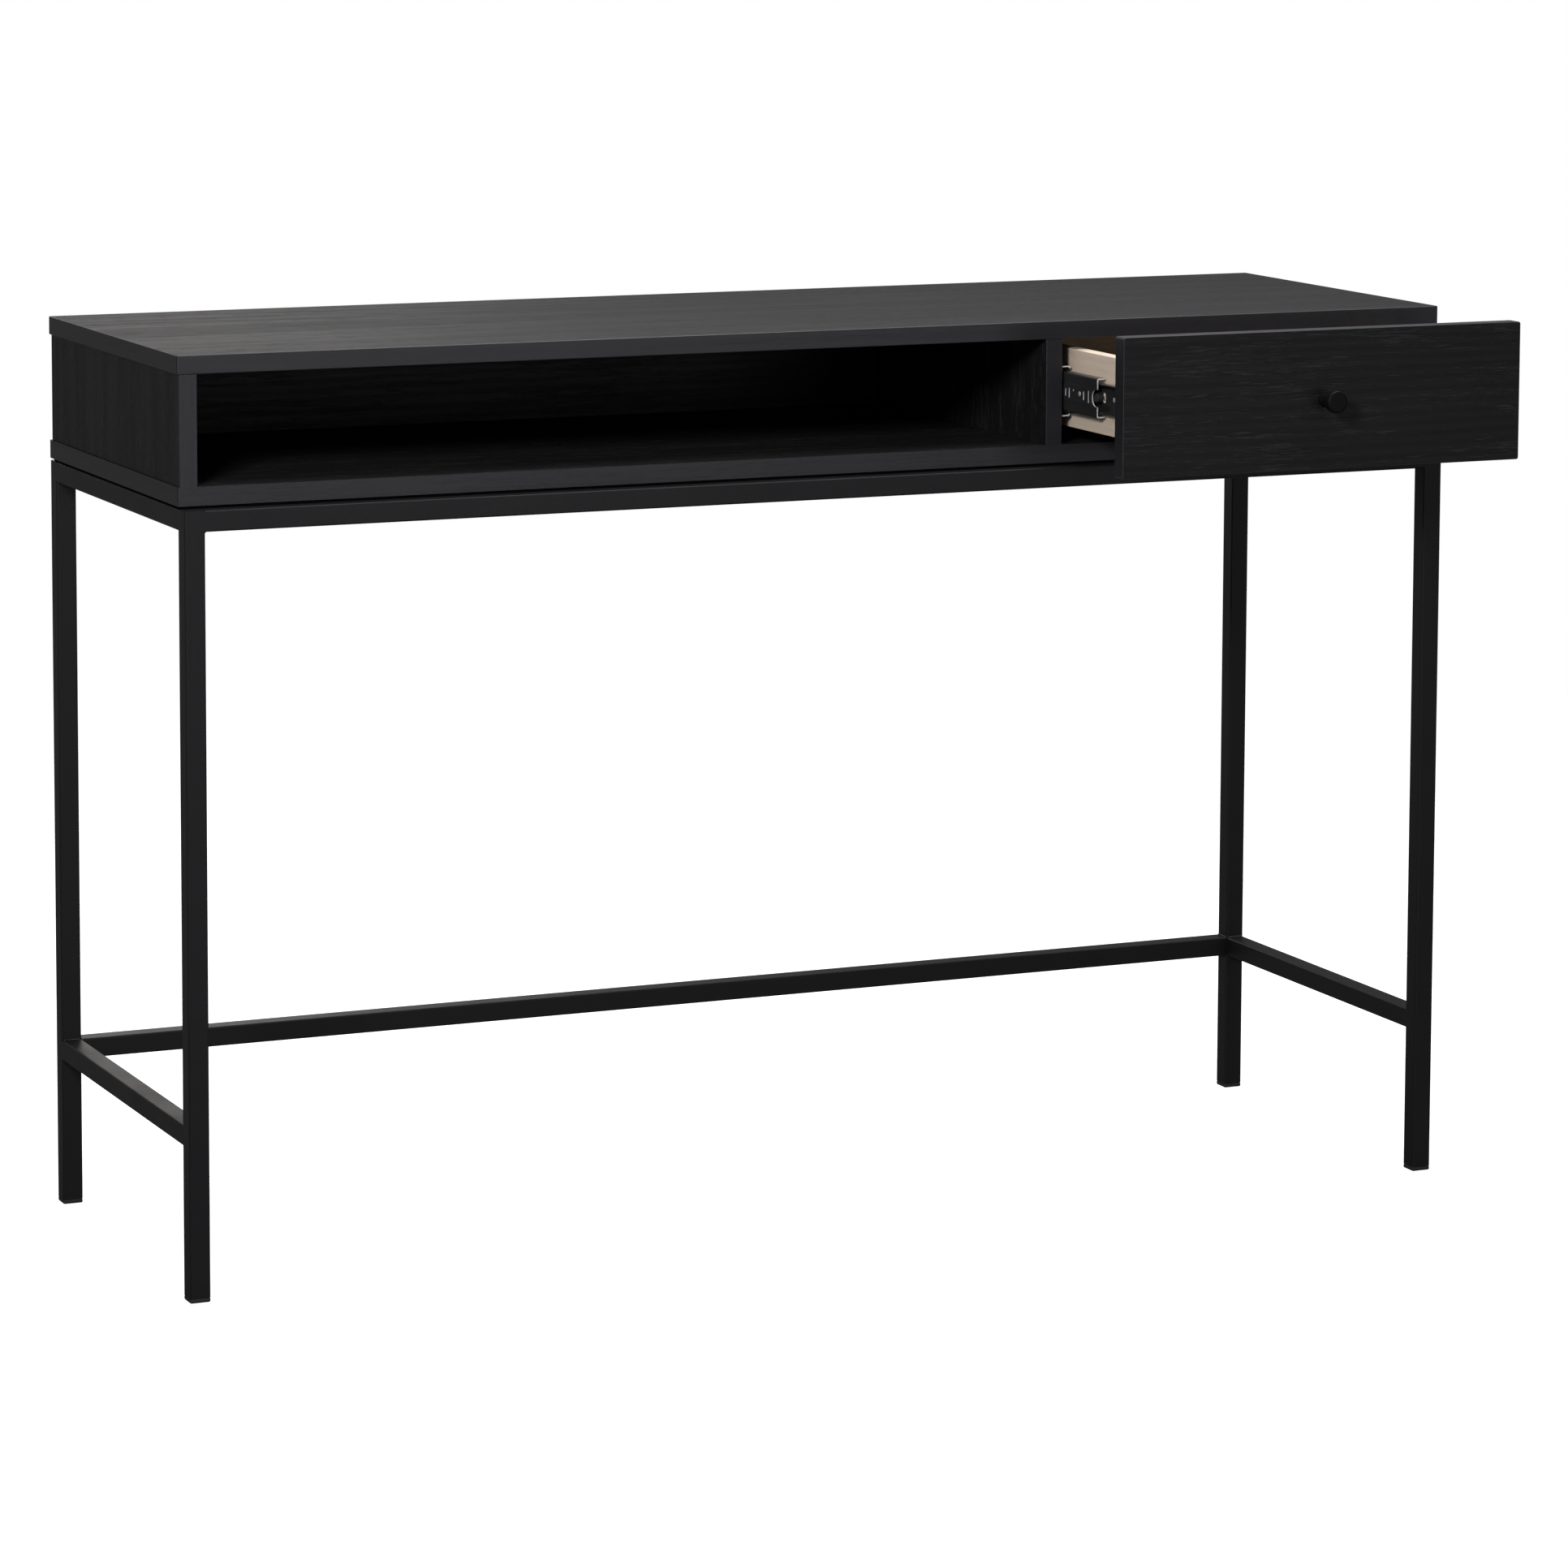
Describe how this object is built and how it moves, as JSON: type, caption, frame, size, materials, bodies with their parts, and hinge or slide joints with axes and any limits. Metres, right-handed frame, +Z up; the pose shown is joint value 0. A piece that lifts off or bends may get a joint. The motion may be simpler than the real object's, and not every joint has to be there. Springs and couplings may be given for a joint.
{
  "type": "writing desk",
  "caption": "Slim black writing desk: veneered box with an open compartment and a drawer on ball bearing slides, standing on a square steel tube frame.",
  "frame": {"origin": "on the floor, under the middle of the whole desk as it stands with its drawer part open", "axes": "+X to the user's right along the desk top, +Y from the user towards the back, +Z up"},
  "size_m": [1.2, 0.542, 0.8],
  "materials": {
    "black_veneer": "black stained open-grain veneer, matt lacquer",
    "black_powder_coat": "fine matt black powder coat",
    "pale_drawer_wood": "pale beige board, matt",
    "black_slide_steel": "black electro-coated sheet steel with bright cut edges",
    "bright_steel": "zinc plated",
    "black_plastic": "matt moulded plastic",
    "black_rubber": "soft matt rubber",
    "knob_black": "satin black"
  },
  "bodies": {
    "desk": {"top_panel": "black_veneer", "bottom_panel": "black_veneer", "side_panel_left": "black_veneer", "side_panel_right": "black_veneer", "divider_panel": "black_veneer", "back_panel": "black_veneer", "leg_front_left": "black_powder_coat", "leg_front_right": "black_powder_coat", "leg_rear_left": "black_powder_coat", "leg_rear_right": "black_powder_coat", "foot_glide_front_left": "black_plastic", "foot_glide_front_right": "black_plastic", "foot_glide_rear_left": "black_plastic", "foot_glide_rear_right": "black_plastic", "rail_front": "black_powder_coat", "rail_rear": "black_powder_coat", "rail_left": "black_powder_coat", "rail_right": "black_powder_coat", "stretcher_rear": "black_powder_coat", "stretcher_left": "black_powder_coat", "stretcher_right": "black_powder_coat", "frame_bolt_left_front": "bright_steel", "frame_bolt_left_rear": "bright_steel", "frame_bolt_right_front": "bright_steel", "frame_bolt_right_rear": "bright_steel", "frame_bolt_rear_left": "bright_steel", "frame_bolt_rear_right": "bright_steel", "spacer_strip_front": "black_plastic", "spacer_strip_rear": "black_plastic", "spacer_strip_left": "black_plastic", "spacer_strip_right": "black_plastic", "slide_cabinet_member_left": "black_slide_steel", "slide_cabinet_member_right": "black_slide_steel", "cabinet_screw_left_front": "bright_steel", "cabinet_screw_left_rear": "bright_steel", "cabinet_screw_right_front": "bright_steel", "cabinet_screw_right_rear": "bright_steel"},
    "drawer": {"drawer_front": "black_veneer", "knob": "knob_black", "knob_screw": "bright_steel", "drawer_side_left": "pale_drawer_wood", "drawer_side_right": "pale_drawer_wood", "drawer_back": "pale_drawer_wood", "drawer_bottom": "pale_drawer_wood", "slide_drawer_member_left": "black_slide_steel", "slide_drawer_member_right": "black_slide_steel", "drawer_screw_left_front": "bright_steel", "drawer_screw_left_rear": "bright_steel", "drawer_screw_right_front": "bright_steel", "drawer_screw_right_rear": "bright_steel"},
    "slide_middle_left": {"slide_middle_member_left": "black_slide_steel", "slide_stop_left": "black_rubber"},
    "outer_cage_left": {"ball_cage_outer_left": "bright_steel"},
    "inner_cage_left": {"ball_cage_inner_left": "bright_steel"},
    "slide_middle_right": {"slide_middle_member_right": "black_slide_steel", "slide_stop_right": "black_rubber"},
    "outer_cage_right": {"ball_cage_outer_right": "bright_steel"},
    "inner_cage_right": {"ball_cage_inner_right": "bright_steel"}
  },
  "joints": [
    {"name": "drawer_slide", "type": "slide", "parent": "desk", "child": "drawer", "axis": [0, -1, 0], "range_m": [-0.129, 0.221]},
    {"name": "middle_slide_left", "type": "slide", "parent": "desk", "child": "slide_middle_left", "axis": [0, -1, 0], "range_m": [-0.0645, 0.1105]},
    {"name": "outer_cage_roll_left", "type": "slide", "parent": "desk", "child": "outer_cage_left", "axis": [0, -1, 0], "range_m": [-0.03225, 0.05525]},
    {"name": "inner_cage_roll_left", "type": "slide", "parent": "desk", "child": "inner_cage_left", "axis": [0, -1, 0], "range_m": [-0.09675, 0.16575]},
    {"name": "middle_slide_right", "type": "slide", "parent": "desk", "child": "slide_middle_right", "axis": [0, -1, 0], "range_m": [-0.0645, 0.1105]},
    {"name": "outer_cage_roll_right", "type": "slide", "parent": "desk", "child": "outer_cage_right", "axis": [0, -1, 0], "range_m": [-0.03225, 0.05525]},
    {"name": "inner_cage_roll_right", "type": "slide", "parent": "desk", "child": "inner_cage_right", "axis": [0, -1, 0], "range_m": [-0.09675, 0.16575]}
  ],
  "couplings": [
    {"joint": "middle_slide_left", "follows": "drawer_slide", "ratio": 0.5},
    {"joint": "outer_cage_roll_left", "follows": "drawer_slide", "ratio": 0.25},
    {"joint": "inner_cage_roll_left", "follows": "drawer_slide", "ratio": 0.75},
    {"joint": "middle_slide_right", "follows": "drawer_slide", "ratio": 0.5},
    {"joint": "outer_cage_roll_right", "follows": "drawer_slide", "ratio": 0.25},
    {"joint": "inner_cage_roll_right", "follows": "drawer_slide", "ratio": 0.75}
  ]
}
